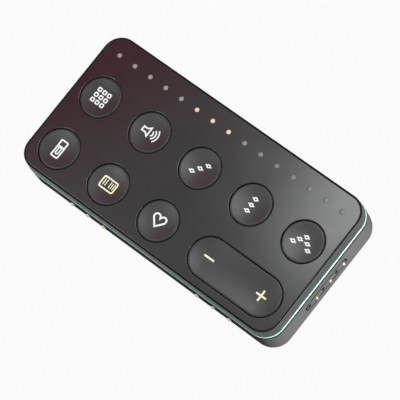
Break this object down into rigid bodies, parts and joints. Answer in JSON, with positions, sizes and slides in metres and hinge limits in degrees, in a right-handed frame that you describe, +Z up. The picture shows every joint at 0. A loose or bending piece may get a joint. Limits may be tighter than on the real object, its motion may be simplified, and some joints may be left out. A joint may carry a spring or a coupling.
{
  "type": "midi controller pad",
  "caption": "Flat black rectangular control pad with dished round keys, a rocking pill-shaped plus and minus key, a row of light dots and sprung docking contacts in its walls.",
  "frame": {"origin": "middle of the underside of the rubber base pad", "axes": "+X along the key rows towards the plus key, +Y towards the row of light dots, +Z up through the keys"},
  "size_m": [0.095, 0.048, 0.0194],
  "materials": {
    "shell_plastic": "moulded black polycarbonate, fine spark texture",
    "seam_trim": "pale teal translucent trim, polished",
    "frame_plastic": "moulded dark grey polycarbonate, satin",
    "plate_plastic": "satin soft-touch black",
    "key_plastic": "satin black, dished",
    "pad_rubber": "moulded black rubber",
    "board_laminate": "green solder mask",
    "chip_epoxy": "moulded epoxy",
    "dome_steel": "stamped stainless steel",
    "guide_acrylic": "milky acrylic",
    "emitter_lens": "cast epoxy lens",
    "screw_steel": "zinc-plated steel",
    "bracket_plastic": "moulded acetal",
    "pivot_steel": "ground steel",
    "magnet_nickel": "nickel plating",
    "housing_plastic": "moulded glass-filled nylon",
    "contact_gold": "gold plating on brass"
  },
  "bodies": {
    "case": {"base_shell": "shell_plastic", "seam_ring": "seam_trim", "top_frame": "frame_plastic", "top_plate": "plate_plastic", "base_pad": "pad_rubber", "main_board": "board_laminate", "controller_chip": "chip_epoxy", "snap_domes": "dome_steel", "light_guide": "guide_acrylic", "dot_emitters": "emitter_lens", "case_screws": "screw_steel", "pivot_bracket": "bracket_plastic", "pivot_pin": "pivot_steel", "dock_magnets": "magnet_nickel", "dock_rear_plates": "board_laminate", "dock_sockets": "contact_gold", "front_left_dock_housing": "housing_plastic", "front_right_dock_housing": "housing_plastic", "right_dock_housing": "housing_plastic", "back_right_dock_housing": "housing_plastic", "back_left_dock_housing": "housing_plastic", "left_dock_housing": "housing_plastic"},
    "grid_key": {"grid_key": "key_plastic"},
    "volume_key": {"volume_key": "key_plastic"},
    "rising_notes_key": {"rising_notes_key": "key_plastic"},
    "stacked_notes_key": {"stacked_notes_key": "key_plastic"},
    "arched_notes_key": {"arched_notes_key": "key_plastic"},
    "device_key": {"device_key": "key_plastic"},
    "keyboard_key": {"keyboard_key": "key_plastic"},
    "heart_key": {"heart_key": "key_plastic"},
    "pill_key": {"pill_key": "key_plastic"},
    "front_left_pin_1": {"front_left_pin_1": "contact_gold"},
    "front_left_pin_2": {"front_left_pin_2": "contact_gold"},
    "front_left_pin_3": {"front_left_pin_3": "contact_gold"},
    "front_right_pin_1": {"front_right_pin_1": "contact_gold"},
    "front_right_pin_2": {"front_right_pin_2": "contact_gold"},
    "front_right_pin_3": {"front_right_pin_3": "contact_gold"},
    "right_pin_1": {"right_pin_1": "contact_gold"},
    "right_pin_2": {"right_pin_2": "contact_gold"},
    "right_pin_3": {"right_pin_3": "contact_gold"},
    "back_right_pin_1": {"back_right_pin_1": "contact_gold"},
    "back_right_pin_2": {"back_right_pin_2": "contact_gold"},
    "back_right_pin_3": {"back_right_pin_3": "contact_gold"},
    "back_left_pin_1": {"back_left_pin_1": "contact_gold"},
    "back_left_pin_2": {"back_left_pin_2": "contact_gold"},
    "back_left_pin_3": {"back_left_pin_3": "contact_gold"},
    "left_pin_1": {"left_pin_1": "contact_gold"},
    "left_pin_2": {"left_pin_2": "contact_gold"},
    "left_pin_3": {"left_pin_3": "contact_gold"}
  },
  "joints": [
    {"name": "grid_key_press", "type": "slide", "parent": "case", "child": "grid_key", "axis": [0, 0, -1], "range_m": [0, 0.0004], "stiffness_N_per_m": 400, "springref_m": -0.0005, "deforming": ["snap_domes"]},
    {"name": "volume_key_press", "type": "slide", "parent": "case", "child": "volume_key", "axis": [0, 0, -1], "range_m": [0, 0.0004], "stiffness_N_per_m": 400, "springref_m": -0.0005, "deforming": ["snap_domes"]},
    {"name": "rising_notes_key_press", "type": "slide", "parent": "case", "child": "rising_notes_key", "axis": [0, 0, -1], "range_m": [0, 0.0004], "stiffness_N_per_m": 400, "springref_m": -0.0005, "deforming": ["snap_domes"]},
    {"name": "stacked_notes_key_press", "type": "slide", "parent": "case", "child": "stacked_notes_key", "axis": [0, 0, -1], "range_m": [0, 0.0004], "stiffness_N_per_m": 400, "springref_m": -0.0005, "deforming": ["snap_domes"]},
    {"name": "arched_notes_key_press", "type": "slide", "parent": "case", "child": "arched_notes_key", "axis": [0, 0, -1], "range_m": [0, 0.0004], "stiffness_N_per_m": 400, "springref_m": -0.0005, "deforming": ["snap_domes"]},
    {"name": "device_key_press", "type": "slide", "parent": "case", "child": "device_key", "axis": [0, 0, -1], "range_m": [0, 0.0004], "stiffness_N_per_m": 400, "springref_m": -0.0005, "deforming": ["snap_domes"]},
    {"name": "keyboard_key_press", "type": "slide", "parent": "case", "child": "keyboard_key", "axis": [0, 0, -1], "range_m": [0, 0.0004], "stiffness_N_per_m": 400, "springref_m": -0.0005, "deforming": ["snap_domes"]},
    {"name": "heart_key_press", "type": "slide", "parent": "case", "child": "heart_key", "axis": [0, 0, -1], "range_m": [0, 0.0004], "stiffness_N_per_m": 400, "springref_m": -0.0005, "deforming": ["snap_domes"]},
    {"name": "pill_key_rock", "type": "hinge", "parent": "case", "child": "pill_key", "pos_m": [0.02805, -0.01408, 0.0165], "axis": [0, 1, 0], "range_deg": [-2.4, 2.4], "stiffness_Nm_per_rad": 0.04, "deforming": ["snap_domes"]},
    {"name": "front_left_pin_1_press", "type": "slide", "parent": "case", "child": "front_left_pin_1", "axis": [0, 1, 0], "range_m": [0, 0.0006], "stiffness_N_per_m": 500, "springref_m": -0.00075},
    {"name": "front_left_pin_2_press", "type": "slide", "parent": "case", "child": "front_left_pin_2", "axis": [0, 1, 0], "range_m": [0, 0.0006], "stiffness_N_per_m": 500, "springref_m": -0.00075},
    {"name": "front_left_pin_3_press", "type": "slide", "parent": "case", "child": "front_left_pin_3", "axis": [0, 1, 0], "range_m": [0, 0.0006], "stiffness_N_per_m": 500, "springref_m": -0.00075},
    {"name": "front_right_pin_1_press", "type": "slide", "parent": "case", "child": "front_right_pin_1", "axis": [0, 1, 0], "range_m": [0, 0.0006], "stiffness_N_per_m": 500, "springref_m": -0.00075},
    {"name": "front_right_pin_2_press", "type": "slide", "parent": "case", "child": "front_right_pin_2", "axis": [0, 1, 0], "range_m": [0, 0.0006], "stiffness_N_per_m": 500, "springref_m": -0.00075},
    {"name": "front_right_pin_3_press", "type": "slide", "parent": "case", "child": "front_right_pin_3", "axis": [0, 1, 0], "range_m": [0, 0.0006], "stiffness_N_per_m": 500, "springref_m": -0.00075},
    {"name": "right_pin_1_press", "type": "slide", "parent": "case", "child": "right_pin_1", "axis": [-1, 0, 0], "range_m": [0, 0.0006], "stiffness_N_per_m": 500, "springref_m": -0.00075},
    {"name": "right_pin_2_press", "type": "slide", "parent": "case", "child": "right_pin_2", "axis": [-1, 0, 0], "range_m": [0, 0.0006], "stiffness_N_per_m": 500, "springref_m": -0.00075},
    {"name": "right_pin_3_press", "type": "slide", "parent": "case", "child": "right_pin_3", "axis": [-1, 0, 0], "range_m": [0, 0.0006], "stiffness_N_per_m": 500, "springref_m": -0.00075},
    {"name": "back_right_pin_1_press", "type": "slide", "parent": "case", "child": "back_right_pin_1", "axis": [0, -1, 0], "range_m": [0, 0.0006], "stiffness_N_per_m": 500, "springref_m": -0.00075},
    {"name": "back_right_pin_2_press", "type": "slide", "parent": "case", "child": "back_right_pin_2", "axis": [0, -1, 0], "range_m": [0, 0.0006], "stiffness_N_per_m": 500, "springref_m": -0.00075},
    {"name": "back_right_pin_3_press", "type": "slide", "parent": "case", "child": "back_right_pin_3", "axis": [0, -1, 0], "range_m": [0, 0.0006], "stiffness_N_per_m": 500, "springref_m": -0.00075},
    {"name": "back_left_pin_1_press", "type": "slide", "parent": "case", "child": "back_left_pin_1", "axis": [0, -1, 0], "range_m": [0, 0.0006], "stiffness_N_per_m": 500, "springref_m": -0.00075},
    {"name": "back_left_pin_2_press", "type": "slide", "parent": "case", "child": "back_left_pin_2", "axis": [0, -1, 0], "range_m": [0, 0.0006], "stiffness_N_per_m": 500, "springref_m": -0.00075},
    {"name": "back_left_pin_3_press", "type": "slide", "parent": "case", "child": "back_left_pin_3", "axis": [0, -1, 0], "range_m": [0, 0.0006], "stiffness_N_per_m": 500, "springref_m": -0.00075},
    {"name": "left_pin_1_press", "type": "slide", "parent": "case", "child": "left_pin_1", "axis": [1, 0, 0], "range_m": [0, 0.0006], "stiffness_N_per_m": 500, "springref_m": -0.00075},
    {"name": "left_pin_2_press", "type": "slide", "parent": "case", "child": "left_pin_2", "axis": [1, 0, 0], "range_m": [0, 0.0006], "stiffness_N_per_m": 500, "springref_m": -0.00075},
    {"name": "left_pin_3_press", "type": "slide", "parent": "case", "child": "left_pin_3", "axis": [1, 0, 0], "range_m": [0, 0.0006], "stiffness_N_per_m": 500, "springref_m": -0.00075}
  ]
}
